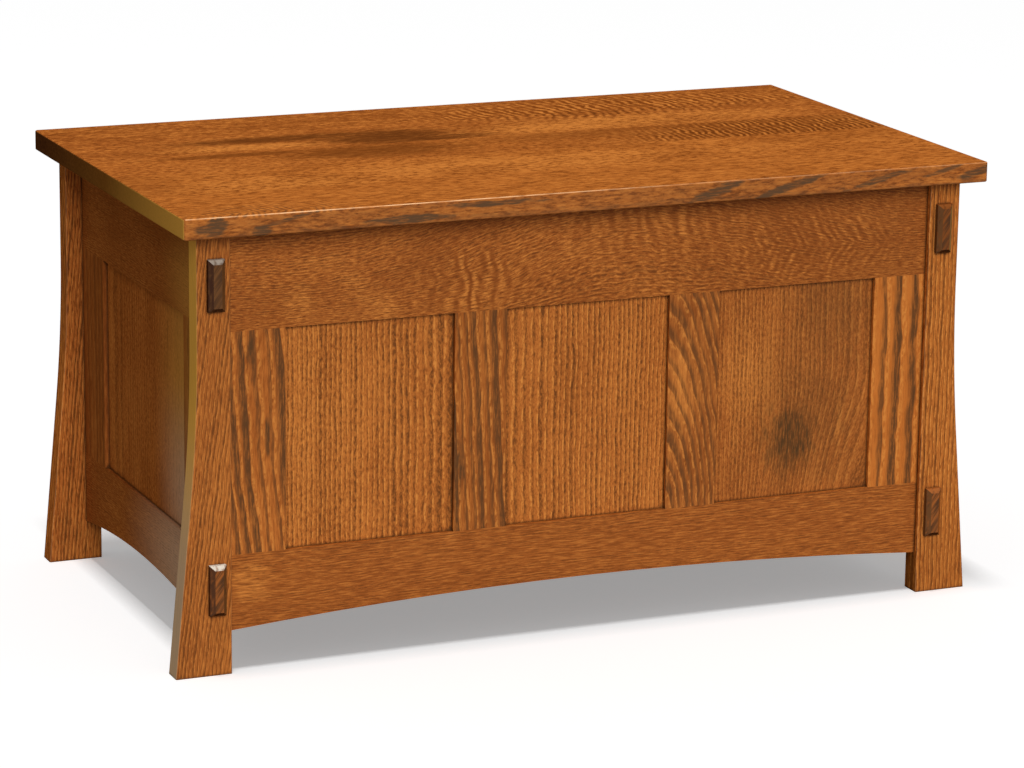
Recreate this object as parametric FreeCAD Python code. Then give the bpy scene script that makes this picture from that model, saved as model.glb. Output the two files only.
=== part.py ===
"""Mission-style oak blanket chest: a frame-and-panel case on four splayed posts, with a hinged lid.

All sizes are in millimetres. +X runs to the right along the chest, +Y from its front to its back
and +Z up. The origin is on the floor under the middle of the chest.
"""
import FreeCAD, Part
import math
import os

from FreeCAD import Placement, Rotation, Vector

# Overall
chest_height = 560.0  # floor to the top of the lid
post_span = 1005.0  # outside to outside of the posts at their tops
case_depth = 544.0  # front of the front posts to the back of the back posts

# Posts
post_thickness = 28.0
post_top_width = 41.5
splay_angle = 5.3  # degrees, of the straight outer edge at the foot
splay_radius = 2000.0  # of the arc that joins it to the vertical edge
splay_start = 400.0  # height at which the outer edge leaves the vertical
post_round = 1.5

# Lid
lid_thickness = 25.4
lid_front_overhang = 27.0
lid_back_overhang = 27.0
lid_end_overhang = 23.5
lid_board_proportions = (130.0, 130.0, 105.0, 125.0, 110.0)  # widths front to back, which fill the depth
lid_round = 2.0
lid_corner_round = 4.0
lid_open_angle = 95.0  # degrees

# Frame-and-panel walls
frame_thickness = 20.0
front_reveal = 8.0  # depth of the front frame behind the posts' faces
back_reveal = 0.0  # the back frame is flush, to carry the hinge
top_rail_width = 118.0
bottom_rail_width = 93.0  # at its ends
floor_gap = 51.0  # under the ends of the bottom rails
arch_rise = 19.0
stile_width = 70.5
mullion_width = 67.5
side_stile_width = 85.0
mullions = ("left", "right")
bays = ("left", "center", "right")
panel_thickness = 8.0
groove_depth = 10.0
groove_clearance = 0.1  # each side of a panel or a tongue
panel_edge_gap = 1.0  # room for a panel to swell, at the bottom of its groove

# Joints of the rails in the posts
tenon_setback = 2.0  # behind the frame's face
tenon_thickness = 7.0
tenon_length = 22.0
tenon_margin = 2.0  # between a tenon and the panel groove
stub_thickness = 8.0  # of the side rails' tenons, in the middle of the rail
mortise_wall = 1.5  # wood left between two mortises in one post
joint_clearance = 0.1
mortise_end_gap = 1.0

# Tenon plugs on the front posts
plug_width = 20.5
plug_height = 62.0
plug_proud = 10.0
plug_seat = 6.0
plug_bevel = 5.0
plug_inset = 18.5  # centre of a plug from the post's inner edge
lower_plug_drop = 38.0  # centre of a lower plug below the bottom rail's top edge

# Bottom
bottom_drop = 24.0  # top of the bottom boards below the bottom rails' top edges
bottom_board_thickness = 12.0
bottom_board_count = 8
bottom_board_gap = 0.8
cleat_size = 20.0
cleat_end_gap = 1.0
cleat_screw_count = 4

# Continuous hinge
hinge_end_gap = 11.0  # between an end of the hinge and a back post
hinge_leaf_width = 15.0  # part of a leaf that lies on wood
hinge_leaf_thickness = 1.2
hinge_leaf_gap = 0.3  # between the closed leaves
hinge_pin_radius = 1.5
hinge_pin_clearance = 0.05
hinge_barrel_gap = 0.5  # between the barrel and the back of the case
knuckle_pitch = 25.0
knuckle_gap = 0.3
hinge_screw_pitch = 75.0

# Battens and bumpers
batten_width = 45.0
batten_thickness = 18.0
batten_end_gap = 20.0
batten_inset = 161.0  # middle of a batten from the posts' inner edges
bumper_radius = 5.0
bumper_inset = 61.0  # on the front rail, from the posts' inner edges
side_bumper_inset = 94.0  # on the side rails, from the front posts

# Slotted lid stays
stay_reach = 130.0  # hinge pin to the lid pivot, and hinge pin to the stud on the side rail
stay_pivot_drop = 16.0  # lid pivot below the lid
stay_stud_angle = 32.0  # degrees below level, of the line from the hinge pin to the stud
stay_arm_thickness = 2.0
stay_arm_width = 16.0
stay_arm_standoff = 4.0  # between the side frame and the arm
stay_ear_gap = 0.5
stay_pivot_radius = 2.5
stay_stud_radius = 2.5
stay_slot_clearance = 0.15
stay_slot_end_gap = 0.3
stay_running_clearance = 0.3  # washers' room each side of the arm
stay_head_radius = 5.0
stay_head_thickness = 1.5
bracket_thickness = 2.0
bracket_length = 40.0
bracket_width = 18.0

# Wood screws: head radius, shank radius, length
hinge_screw = (3.3, 1.6, 14.0)
cleat_screw = (4.0, 2.0, 32.0)
batten_screw = (4.0, 2.0, 33.0)
bracket_screw = (3.3, 1.6, 16.0)
stud_screw_length = 12.0
screw_clearance = 0.05
screw_slot_width = 0.8
screw_slot_depth = 0.9
screw_slot_ratio = 1.5  # a slot's length to the head's radius
screw_tip_ratio = 0.2  # the tip's radius to the shank's

# Places that follow from these sizes
front_face = -case_depth / 2
back_face = case_depth / 2
inner_half = post_span / 2 - post_top_width  # middle of the chest to the posts' inner edges
side_face = inner_half + frame_thickness
lid_underside = chest_height - lid_thickness
lid_gap = hinge_leaf_thickness + hinge_leaf_gap
case_top = lid_underside - lid_gap
top_rail_low = case_top - top_rail_width
bottom_rail_top = floor_gap + bottom_rail_width
front_inside = front_face + front_reveal + frame_thickness
back_inside = back_face - back_reveal - frame_thickness
side_length = case_depth - 2 * post_thickness
bottom_top = bottom_rail_top - bottom_drop
tongue_length = groove_depth - panel_edge_gap
hinge_length = 2 * (inner_half - hinge_end_gap)
hinge_bore_radius = hinge_pin_radius + hinge_pin_clearance
barrel_radius = hinge_bore_radius + hinge_leaf_thickness
pin_y = back_face + hinge_barrel_gap + barrel_radius
pin_z = lid_underside - barrel_radius
pin_line = Vector(0, pin_y, pin_z)
X_AXIS = Vector(1, 0, 0)
Y_AXIS = Vector(0, 1, 0)
Z_AXIS = Vector(0, 0, 1)


# General helpers

def around(centre, width):
    """The range of a width that is centred on a value."""
    return (centre - width / 2, centre + width / 2)


def grown(limits, amount):
    """A range made longer by an amount at both ends."""
    return (limits[0] - amount, limits[1] + amount)


def block(x_limits, y_limits, z_limits):
    """A block between two values on each axis."""
    low = Vector(x_limits[0], y_limits[0], z_limits[0])
    size = [limits[1] - limits[0] for limits in (x_limits, y_limits, z_limits)]
    return Part.makeBox(*size, low)


def mirrored(shape):
    """The same shape on the other side of the chest's middle plane."""
    return shape.mirror(Vector(0, 0, 0), X_AXIS)


def cut_all(shape, tools):
    """A shape without a list of other shapes."""
    return shape.cut(Part.makeCompound(tools)) if tools else shape


def fuse_all(shapes):
    """One solid out of touching shapes."""
    return shapes[0].multiFuse(shapes[1:]).removeSplitter()


def edges_where(shape, test):
    """The edges all of whose vertices pass a test."""
    return [edge for edge in shape.Edges if all(test(vertex.Point) for vertex in edge.Vertexes)]


def near(value, target):
    """Whether two coordinates are the same."""
    return abs(value - target) < 1e-4


def evenly(low, high, count):
    """Positions spread evenly over a range, half a step in from its ends."""
    step = (high - low) / count
    return [low + step * (index + 0.5) for index in range(count)]


# Screws

def screw_body(sizes, clearance):
    """A countersunk screw, or with a clearance the hole for it. Its head is at the origin, facing up."""
    head_radius, shank_radius, length = sizes
    head = head_radius + clearance
    shank = shank_radius + clearance
    head_depth = head - shank
    cone = Part.makeCone(head, shank, head_depth, Vector(0, 0, 0), -Z_AXIS)
    straight = length - head_depth - shank
    stem = Part.makeCylinder(shank, straight, Vector(0, 0, -head_depth), -Z_AXIS)
    tip_top = Vector(0, 0, -head_depth - straight)
    tip = Part.makeCone(shank, shank * screw_tip_ratio, shank, tip_top, -Z_AXIS)
    return fuse_all([cone, stem, tip])


def screw_set(sizes, places, direction):
    """Screws with their heads at some places, driven along a direction, and the holes for them."""
    slot_length = screw_slot_ratio * sizes[0]
    slots = [block(around(0, slot_length), around(0, screw_slot_width), (-screw_slot_depth, 1)),
             block(around(0, screw_slot_width), around(0, slot_length), (-screw_slot_depth, 1))]
    screw = cut_all(screw_body(sizes, 0), slots)
    hole = screw_body(sizes, screw_clearance)
    turn = Rotation(-Z_AXIS, direction)
    screws = [placed(screw, Placement(place, turn)) for place in places]
    holes = [placed(hole, Placement(place, turn)) for place in places]
    return screws, holes


def placed(shape, placement):
    """A copy of a shape moved to a placement."""
    copy = shape.copy()
    copy.Placement = placement.multiply(copy.Placement)
    return copy


# Frame-and-panel walls, drawn as seen from outside: X to the right, Y inward from the face, Z up

def rail_board(length, low, high, rise):
    """A rail without joints. Its lower edge rises in an arc to the middle."""
    corners = [Vector(-length / 2, 0, low), Vector(-length / 2, 0, high),
               Vector(length / 2, 0, high), Vector(length / 2, 0, low)]
    edges = [Part.makeLine(first, last) for first, last in zip(corners, corners[1:])]
    if rise:
        edges.append(Part.Arc(corners[3], Vector(0, 0, low + rise), corners[0]).toShape())
    else:
        edges.append(Part.makeLine(corners[3], corners[0]))
    return Part.Face(Part.Wire(edges)).extrude(Y_AXIS * frame_thickness)


def groove_limits():
    """The panel groove's limits through the frame's thickness."""
    return around(frame_thickness / 2, panel_thickness + 2 * groove_clearance)


def tenon_blocks(length, low, high, tenons):
    """A rail's two tenons and the mortises for them. Each tenon is its limits and its length."""
    solids = []
    mortises = []
    shoulder = groove_depth + tenon_margin
    height = (low + shoulder, high - shoulder)
    for side, (thickness, reach) in zip((-1, 1), tenons):
        ends = sorted((side * length / 2, side * (length / 2 + reach)))
        deep = sorted((side * length / 2, side * (length / 2 + reach + mortise_end_gap)))
        solids.append(block(ends, thickness, height))
        mortises.append(block(deep, grown(thickness, joint_clearance), grown(height, joint_clearance)))
    return solids, mortises


def stile(centre, width, grooved_sides):
    """An upright between the rails, with tongues in their grooves and a groove on some of its edges."""
    board = block(around(centre, width), (0, frame_thickness), (bottom_rail_top, top_rail_low))
    tongue = block(around(centre, width), around(frame_thickness / 2, panel_thickness),
                   (bottom_rail_top - tongue_length, top_rail_low + tongue_length))
    upright = fuse_all([board, tongue])
    grooves = []
    for side in grooved_sides:
        edge = centre + side * width / 2
        across = sorted((edge, edge - side * groove_depth))
        grooves.append(block(across, groove_limits(), (0, chest_height)))
    return cut_all(upright, grooves)


def panel(centre, width):
    """A flat panel that fills a bay and reaches into the grooves round it."""
    return block(grown(around(centre, width), tongue_length), around(frame_thickness / 2, panel_thickness),
                 grown((bottom_rail_top, top_rail_low), tongue_length))


def frame_wall(name, length, end_width, ends, mullion_names, bay_names, tenons, placement):
    """The pieces of one wall by node name, and the mortises that its rails need in the posts."""
    groove = [block(around(0, length), groove_limits(), grown((bottom_rail_top, top_rail_low), groove_depth))]
    pieces = {}
    mortises = []
    for rail, low, high, rise in (("top_rail", top_rail_low, case_top, 0),
                                  ("bottom_rail", floor_gap, bottom_rail_top, arch_rise)):
        solids, holes = tenon_blocks(length, low, high, tenons)
        board = cut_all(rail_board(length, low, high, rise), groove)
        pieces[rail] = fuse_all([board] + solids)
        mortises += holes
    for side, end in zip((-1, 1), ends):
        pieces["stile_" + end] = stile(side * (length - end_width) / 2, end_width, [-side])
    bay = (length - 2 * end_width - len(mullion_names) * mullion_width) / len(bay_names)
    start = -length / 2 + end_width
    for index, mullion in enumerate(mullion_names):
        centre = start + (index + 1) * bay + (index + 0.5) * mullion_width
        pieces["mullion_" + mullion] = stile(centre, mullion_width, [-1, 1])
    for index, bay_name in enumerate(bay_names):
        centre = start + (index + 0.5) * bay + index * mullion_width
        pieces["panel" + bay_name] = panel(centre, bay)
    nodes = {name + "_" + piece: placed(solid, placement) for piece, solid in pieces.items()}
    return nodes, [placed(mortise, placement) for mortise in mortises]


def walls():
    """The four walls, and every mortise that they need in the posts."""
    through = (tenon_setback, tenon_setback + tenon_thickness)
    stub = around(frame_thickness / 2, stub_thickness)
    front_stub = post_thickness - front_reveal - through[1] - mortise_wall - mortise_end_gap
    back_stub = post_thickness - back_reveal - through[1] - mortise_wall - mortise_end_gap
    long_tenons = [(through, tenon_length)] * 2
    side_tenons = [(stub, front_stub), (stub, back_stub)]
    bay_names = ["_" + bay for bay in bays]
    front = frame_wall("front", 2 * inner_half, stile_width, ("left", "right"), mullions, bay_names,
                       long_tenons, Placement(Vector(0, front_face + front_reveal, 0), Rotation(Z_AXIS, 0)))
    back = frame_wall("back", 2 * inner_half, stile_width, ("right", "left"), mullions[::-1],
                      bay_names[::-1], long_tenons,
                      Placement(Vector(0, back_face - back_reveal, 0), Rotation(Z_AXIS, 180)))
    right = frame_wall("right", side_length, side_stile_width, ("front", "back"), (), ("",), side_tenons,
                       Placement(Vector(side_face, 0, 0), Rotation(Z_AXIS, 90)))
    left = frame_wall("left", side_length, side_stile_width, ("back", "front"), (), ("",),
                      side_tenons[::-1], Placement(Vector(-side_face, 0, 0), Rotation(Z_AXIS, -90)))
    nodes = {}
    mortises = []
    for wall_nodes, wall_mortises in (front, back, right, left):
        nodes.update(wall_nodes)
        mortises += wall_mortises
    return nodes, mortises


# Posts and their plugs

def right_post():
    """The front right post without joints: a board whose outer edge curves out to the foot."""
    outer = inner_half + post_top_width
    angle = math.radians(splay_angle)

    def on_arc(turn):
        return Vector(outer + splay_radius * (1 - math.cos(turn)), front_face,
                      splay_start - splay_radius * math.sin(turn))

    arc_end = on_arc(angle)
    foot = Vector(arc_end.x + arc_end.z * math.tan(angle), front_face, 0)
    inner_foot = Vector(inner_half, front_face, 0)
    inner_top = Vector(inner_half, front_face, case_top)
    outer_top = Vector(outer, front_face, case_top)
    edges = [Part.makeLine(inner_foot, inner_top), Part.makeLine(inner_top, outer_top),
             Part.makeLine(outer_top, on_arc(0)), Part.Arc(on_arc(0), on_arc(angle / 2), arc_end).toShape(),
             Part.makeLine(arc_end, foot), Part.makeLine(foot, inner_foot)]
    board = Part.Face(Part.Wire(edges)).extrude(Y_AXIS * post_thickness)
    inner_front = edges_where(board, lambda p: near(p.x, inner_half) and near(p.y, front_face))
    outer_long = edges_where(board, lambda p: p.x > outer - 1e-4)
    outer_long = [edge for edge in outer_long if near(edge.Vertexes[0].Y, edge.Vertexes[1].Y)]
    return board.makeFillet(post_round, inner_front + outer_long)


def plug_centres():
    """The centres of the right post's upper and lower plugs, on its front face."""
    heights = {"upper": (top_rail_low + case_top) / 2, "lower": bottom_rail_top - lower_plug_drop}
    return {level: Vector(inner_half + plug_inset, front_face, z) for level, z in heights.items()}


def plug(centre, clearance):
    """A plug with a bevelled outer end, or with a clearance the shallow mortise for it."""
    seat = block(grown(around(centre.x, plug_width), clearance),
                 (centre.y - plug_proud, centre.y + plug_seat + clearance),
                 grown(around(centre.z, plug_height), clearance))
    if clearance:
        return seat
    outer_edges = edges_where(seat, lambda p: near(p.y, centre.y - plug_proud))
    return seat.makeChamfer(plug_bevel, outer_edges)


def posts(mortises):
    """The four posts and the plugs on the front ones."""
    nodes = {}
    seats = []
    for level, centre in plug_centres().items():
        nodes["plug_%s_right" % level] = plug(centre, 0)
        nodes["plug_%s_left" % level] = mirrored(plug(centre, 0))
        seat = plug(centre, joint_clearance)
        seats += [seat, mirrored(seat)]
    front_right = right_post()
    back_right = front_right.mirror(Vector(0, 0, 0), Y_AXIS)
    for name, post in (("front", front_right), ("back", back_right)):
        for side, shape in (("right", post), ("left", mirrored(post))):
            tools = [tool for tool in mortises + seats if tool.BoundBox.intersect(shape.BoundBox)]
            nodes["post_%s_%s" % (name, side)] = cut_all(shape, tools)
    return nodes


# Bottom

def bottom():
    """The cedar bottom boards, the cleats that carry them and the cleats' screws, with their holes."""
    boards = []
    width = 2 * inner_half / bottom_board_count
    for centre in evenly(-inner_half, inner_half, bottom_board_count):
        boards.append(block(around(centre, width - bottom_board_gap),
                            (front_inside + bottom_board_gap, back_inside - bottom_board_gap),
                            (bottom_top - bottom_board_thickness, bottom_top)))
    cleat_top = bottom_top - bottom_board_thickness
    length = (-inner_half + cleat_end_gap, inner_half - cleat_end_gap)
    height = (cleat_top - cleat_size, cleat_top)
    front = block(length, (front_inside, front_inside + cleat_size), height)
    back = block(length, (back_inside - cleat_size, back_inside), height)
    columns = evenly(length[0], length[1], cleat_screw_count)
    middle = cleat_top - cleat_size / 2
    front_places = [Vector(x, front_inside + cleat_size, middle) for x in columns]
    back_places = [Vector(x, back_inside - cleat_size, middle) for x in columns]
    into_front = screw_set(cleat_screw, front_places, -Y_AXIS)
    into_back = screw_set(cleat_screw, back_places, Y_AXIS)
    nodes = {"bottom_boards": Part.makeCompound(boards),
             "bottom_cleats": Part.makeCompound([cut_all(front, into_front[1]), cut_all(back, into_back[1])]),
             "cleat_screws": Part.makeCompound(into_front[0] + into_back[0])}
    return nodes, into_front[1], into_back[1]


# Parts that are round about a line along X

def rod(radius, x_limits, centre):
    """A cylinder along X between two values of X."""
    start = Vector(x_limits[0], centre.y, centre.z)
    return Part.makeCylinder(radius, x_limits[1] - x_limits[0], start, X_AXIS)


# Hinge

def knuckles(first):
    """The X limits of every second knuckle, from a first one."""
    count = int(hinge_length / knuckle_pitch)
    start = -count * knuckle_pitch / 2
    return [grown((start + index * knuckle_pitch, start + (index + 1) * knuckle_pitch), -knuckle_gap / 2)
            for index in range(first, count, 2)]


def hinge_leaf(first, z_limits, holes):
    """A leaf with its knuckles round the pin. The plate stops short of the other leaf's knuckles."""
    plate_end = pin_y - barrel_radius - knuckle_gap
    solids = [block(around(0, hinge_length), (back_face - hinge_leaf_width, plate_end), z_limits)]
    for limits in knuckles(first):
        solids.append(block(limits, (plate_end, pin_y), z_limits))
        solids.append(rod(barrel_radius, limits, pin_line))
    bore = rod(hinge_bore_radius, around(0, hinge_length), pin_line)
    return cut_all(fuse_all(solids), [bore] + holes)


def hinge():
    """The hinge's leaves, pin and screws, and the holes and recess that they need in the wood."""
    count = int(hinge_length / hinge_screw_pitch)
    run = count * hinge_screw_pitch / 2
    columns = evenly(-run, run, count)
    row = back_face - hinge_leaf_width / 2
    case_screws, case_holes = screw_set(hinge_screw, [Vector(x, row, case_top) for x in columns], -Z_AXIS)
    lid_leaf_low = lid_underside - hinge_leaf_thickness
    lid_screws, lid_holes = screw_set(hinge_screw, [Vector(x, row, lid_leaf_low) for x in columns], Z_AXIS)
    recess = block(grown(around(0, hinge_length), joint_clearance),
                   (back_face - hinge_leaf_width - joint_clearance, back_face),
                   (case_top - hinge_leaf_thickness, case_top))
    nodes = {"hinge_case_leaf": hinge_leaf(0, (case_top - hinge_leaf_thickness, case_top), case_holes),
             "hinge_lid_leaf": hinge_leaf(1, (lid_leaf_low, lid_underside), lid_holes),
             "hinge_pin": rod(hinge_pin_radius, around(0, hinge_length), pin_line),
             "hinge_case_screws": Part.makeCompound(case_screws),
             "hinge_lid_screws": Part.makeCompound(lid_screws)}
    return nodes, case_holes + [recess], lid_holes


# Slotted lid stays: the lid pivot and the stud are equally far from the hinge pin, so the arm turns
# through half the lid's angle and the stud stays on the slot's centre line

def from_pin(angle):
    """The point at a stay's reach from the hinge pin, at an angle below level, in the YZ plane."""
    turn = math.radians(angle)
    return Vector(0, pin_y - stay_reach * math.cos(turn), pin_z - stay_reach * math.sin(turn))


def stay_pivot_angle():
    """The lid pivot's angle below level as seen from the hinge pin, with the lid shut."""
    return math.degrees(math.asin((stay_pivot_drop - barrel_radius) / stay_reach))


def stay_spans():
    """The stud's distances from the lid pivot, with the lid shut and wide open."""
    shut = stay_stud_angle - stay_pivot_angle()
    return [2 * stay_reach * math.sin(math.radians(angle / 2)) for angle in (shut, shut + lid_open_angle)]


def stay_arm(arm_x):
    """The slotted arm, from the lid pivot past the stud, with the lid shut."""
    shut_span, open_span = stay_spans()
    slot_radius = stay_stud_radius + stay_slot_clearance
    slot = (shut_span - stay_slot_end_gap, open_span + stay_slot_end_gap)

    thickness = (0, stay_arm_thickness)

    def strap(ends, radius):
        caps = [rod(radius, thickness, Vector(0, end, 0)) for end in ends]
        return fuse_all([block(thickness, ends, (-radius, radius))] + caps)

    pivot_hole = rod(stay_pivot_radius + hinge_pin_clearance, thickness, Vector(0, 0, 0))
    arm = cut_all(strap((0, slot[1]), stay_arm_width / 2), [strap(slot, slot_radius), pivot_hole])
    pivot = from_pin(stay_pivot_angle())
    stud = from_pin(stay_stud_angle)
    turn = Rotation(Y_AXIS, stud - pivot)
    return placed(arm, Placement(Vector(arm_x, pivot.y, pivot.z), turn))


def right_stay():
    """The right stay's arm, lid bracket, pivot and stud, and the holes in the side rail and the lid."""
    arm_x = (inner_half - stay_arm_standoff - stay_arm_thickness, inner_half - stay_arm_standoff)
    ear_x = (arm_x[0] - stay_ear_gap - bracket_thickness, arm_x[0] - stay_ear_gap)
    pivot = from_pin(stay_pivot_angle())
    stud = from_pin(stay_stud_angle)
    ear_low = pivot.z - stay_arm_width / 2
    ear = block(ear_x, around(pivot.y, stay_arm_width), (ear_low, lid_underside))
    flange = block((ear_x[1] - bracket_width, ear_x[1]), around(pivot.y, bracket_length),
                   (lid_underside - bracket_thickness, lid_underside))
    screw_row = ear_x[0] - (bracket_width - bracket_thickness) / 2
    places = [Vector(screw_row, y, lid_underside - bracket_thickness)
              for y in evenly(pivot.y - bracket_length / 2, pivot.y + bracket_length / 2, 2)]
    screws, lid_holes = screw_set(bracket_screw, places, Z_AXIS)
    bracket = cut_all(fuse_all([ear, flange]), lid_holes + [rod(stay_pivot_radius, ear_x, pivot)])
    inner_side = arm_x[0] - stay_running_clearance
    outer_side = arm_x[1] + stay_running_clearance
    rivet = fuse_all([rod(stay_pivot_radius, (ear_x[0], outer_side), pivot),
                      rod(stay_head_radius, (outer_side, outer_side + stay_head_thickness), pivot)])
    screw_end = inner_half + stud_screw_length
    stud_solid = fuse_all([rod(stay_head_radius, (inner_side - stay_head_thickness, inner_side), stud),
                           rod(stay_stud_radius, (inner_side, screw_end), stud),
                           rod(stay_head_radius, (outer_side, inner_half), stud)])
    rail_hole = rod(stay_stud_radius + screw_clearance, (inner_half, screw_end + screw_clearance), stud)
    solids = {"arm": stay_arm(arm_x[0]), "bracket": bracket, "pivot": rivet, "stud": stud_solid,
              "screws": Part.makeCompound(screws)}
    return solids, rail_hole, lid_holes


def stays():
    """Both stays' nodes, and the holes in the side rails and the lid."""
    solids, rail_hole, lid_holes = right_stay()
    both = {piece: Part.makeCompound([mirrored(solid), solid]) for piece, solid in solids.items()}
    nodes = {"stay_arm_left": mirrored(solids["arm"]), "stay_arm_right": solids["arm"],
             "stay_brackets": both["bracket"], "stay_pivots": both["pivot"], "stay_studs": both["stud"],
             "stay_screws": both["screws"]}
    return nodes, rail_hole, lid_holes + [mirrored(hole) for hole in lid_holes]


# Lid and bumpers

def battens(board_limits):
    """The battens under the lid and their screws, one into each lid board, with their holes."""
    depth = (front_inside + batten_end_gap, back_inside - batten_end_gap)
    low = lid_underside - batten_thickness
    crossed = [(max(front, depth[0]), min(back, depth[1])) for front, back in board_limits]
    rows = [(front + back) / 2 for front, back in crossed if back > front]
    nodes = {}
    screws = []
    holes = []
    offset = inner_half - batten_inset
    for name, centre in (("left", -offset), ("right", offset)):
        board = block(around(centre, batten_width), depth, (low, lid_underside))
        batten_screws, batten_holes = screw_set(batten_screw, [Vector(centre, y, low) for y in rows], Z_AXIS)
        nodes["lid_batten_" + name] = cut_all(board, batten_holes)
        screws += batten_screws
        holes += batten_holes
    nodes["batten_screws"] = Part.makeCompound(screws)
    return nodes, holes


def lid_board_limits():
    """The Y limits of each lid board, from the front to the back."""
    front = front_face - lid_front_overhang
    depth = lid_front_overhang + case_depth + lid_back_overhang
    total = sum(lid_board_proportions)
    edges = [front + depth * sum(lid_board_proportions[:index]) / total
             for index in range(len(lid_board_proportions) + 1)]
    return list(zip(edges, edges[1:]))


def lid_boards(limits, holes):
    """The lid's boards, cut out of one slab whose outer edges are eased."""
    length = around(0, post_span + 2 * lid_end_overhang)
    height = (lid_underside, chest_height)
    slab = block(length, (limits[0][0], limits[-1][1]), height)
    corners = [edge for edge in slab.Edges if near(edge.Vertexes[0].Y, edge.Vertexes[1].Y)
               and near(edge.Vertexes[0].X, edge.Vertexes[1].X)]
    slab = slab.makeFillet(lid_corner_round, corners)
    rims = [edge for edge in slab.Edges if near(edge.Vertexes[0].Z, edge.Vertexes[1].Z)]
    slab = cut_all(slab.makeFillet(lid_round, rims), holes)
    return {"lid_board_%d" % (index + 1): slab.common(block(length, board, height))
            for index, board in enumerate(limits)}


def bumpers():
    """Rubber bumpers on the front rail and the side rails, which the shut lid rests on."""
    front_row = front_face + front_reveal + frame_thickness / 2
    side_column = inner_half + frame_thickness / 2
    side_row = front_face + post_thickness + side_bumper_inset
    places = [(side * (inner_half - bumper_inset), front_row) for side in (-1, 1)]
    places += [(side * side_column, side_row) for side in (-1, 1)]
    return Part.makeCompound([Part.makeCylinder(bumper_radius, lid_gap, Vector(x, y, case_top))
                              for x, y in places])


# Assembly

def chest():
    """Every node of the chest by name."""
    wall_nodes, mortises = walls()
    bottom_nodes, front_cleat_holes, back_cleat_holes = bottom()
    hinge_nodes, case_hinge_cuts, lid_hinge_holes = hinge()
    stay_nodes, stud_hole, lid_stay_holes = stays()
    board_limits = lid_board_limits()
    batten_nodes, batten_holes = battens(board_limits)
    wall_nodes["front_bottom_rail"] = cut_all(wall_nodes["front_bottom_rail"], front_cleat_holes)
    wall_nodes["back_bottom_rail"] = cut_all(wall_nodes["back_bottom_rail"], back_cleat_holes)
    wall_nodes["back_top_rail"] = cut_all(wall_nodes["back_top_rail"], case_hinge_cuts)
    wall_nodes["right_top_rail"] = cut_all(wall_nodes["right_top_rail"], [stud_hole])
    wall_nodes["left_top_rail"] = cut_all(wall_nodes["left_top_rail"], [mirrored(stud_hole)])
    nodes = dict(wall_nodes)
    nodes.update(posts(mortises))
    for group in (bottom_nodes, hinge_nodes, stay_nodes, batten_nodes):
        nodes.update(group)
    nodes.update(lid_boards(board_limits, lid_hinge_holes + lid_stay_holes + batten_holes))
    nodes["lid_bumpers"] = bumpers()
    return nodes


def main():
    """Writes one STEP file for each node."""
    os.makedirs("parts", exist_ok=True)
    for name, shape in chest().items():
        shape.exportStep("parts/%s.step" % name)


main()
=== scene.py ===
"""Looks of the oak blanket chest: stained oak, walnut plugs, a cedar bottom, brass and rubber, in a studio.

Sizes are in metres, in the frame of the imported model: +X to the right, +Y to the back, +Z up. The marks on
a board and the figure of its wood are in millimetres.
"""
import math

import bmesh
import bpy
from mathutils import Matrix, Vector

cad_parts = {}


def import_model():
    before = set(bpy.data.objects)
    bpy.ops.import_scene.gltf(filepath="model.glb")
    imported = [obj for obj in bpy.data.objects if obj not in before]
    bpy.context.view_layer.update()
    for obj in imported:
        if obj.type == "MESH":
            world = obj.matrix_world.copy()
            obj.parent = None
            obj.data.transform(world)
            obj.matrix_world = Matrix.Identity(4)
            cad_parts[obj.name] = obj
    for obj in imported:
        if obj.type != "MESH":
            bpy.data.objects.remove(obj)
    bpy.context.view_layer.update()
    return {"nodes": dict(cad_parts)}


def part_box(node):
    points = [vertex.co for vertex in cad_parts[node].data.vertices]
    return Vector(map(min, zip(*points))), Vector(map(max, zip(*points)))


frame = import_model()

MM = 0.001

# Camera, at the photograph's view of the chest
CAMERA_PLACE = Vector((-1.9189, -4.4751, 1.4754))
CAMERA_YAW = math.radians(23.354)  # to the right of +Y
CAMERA_PITCH = math.radians(14.121)  # below level
CAMERA_ROLL = math.radians(0.758)
CAMERA_LENS = 137.99  # mm
CAMERA_SENSOR = 36.0  # width in mm
CAMERA_SIGHT = 100.0  # how far it sees

# Studio
TOP_LIGHT = 0.54  # what each light alone gives a white surface that faces it
TOP_LIGHT_HEIGHT = 40.0
TOP_LIGHT_SIZE = (2.8, 11.0)  # along X and Y
TOP_LIGHT_SLOPE = (0.089, 0.14)  # how far its light goes to the right and back for each metre down
FRONT_LIGHT = 0.74
FRONT_LIGHT_ANGLE = math.radians(38)  # width of the light as seen from the chest
FRONT_LIGHT_RISE = math.radians(30)
FRONT_LIGHT_TOWARD = (0.10, math.cos(FRONT_LIGHT_RISE), -math.sin(FRONT_LIGHT_RISE))
AMBIENT = 0.20
FLOOR_SIZE = 60.0
FLOOR_DROP = 0.1 * MM  # keeps the floor's face off the soles of the feet
FLOOR_BOUNCE = 0.42  # colour of the floor for the light that it sends back to the chest
FLOOR_SEEN = 1.0
FLOOR_LIFT = 0.31  # keeps the shadow on the floor as pale as in the studio
WHITE = (1, 1, 1, 1)

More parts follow.
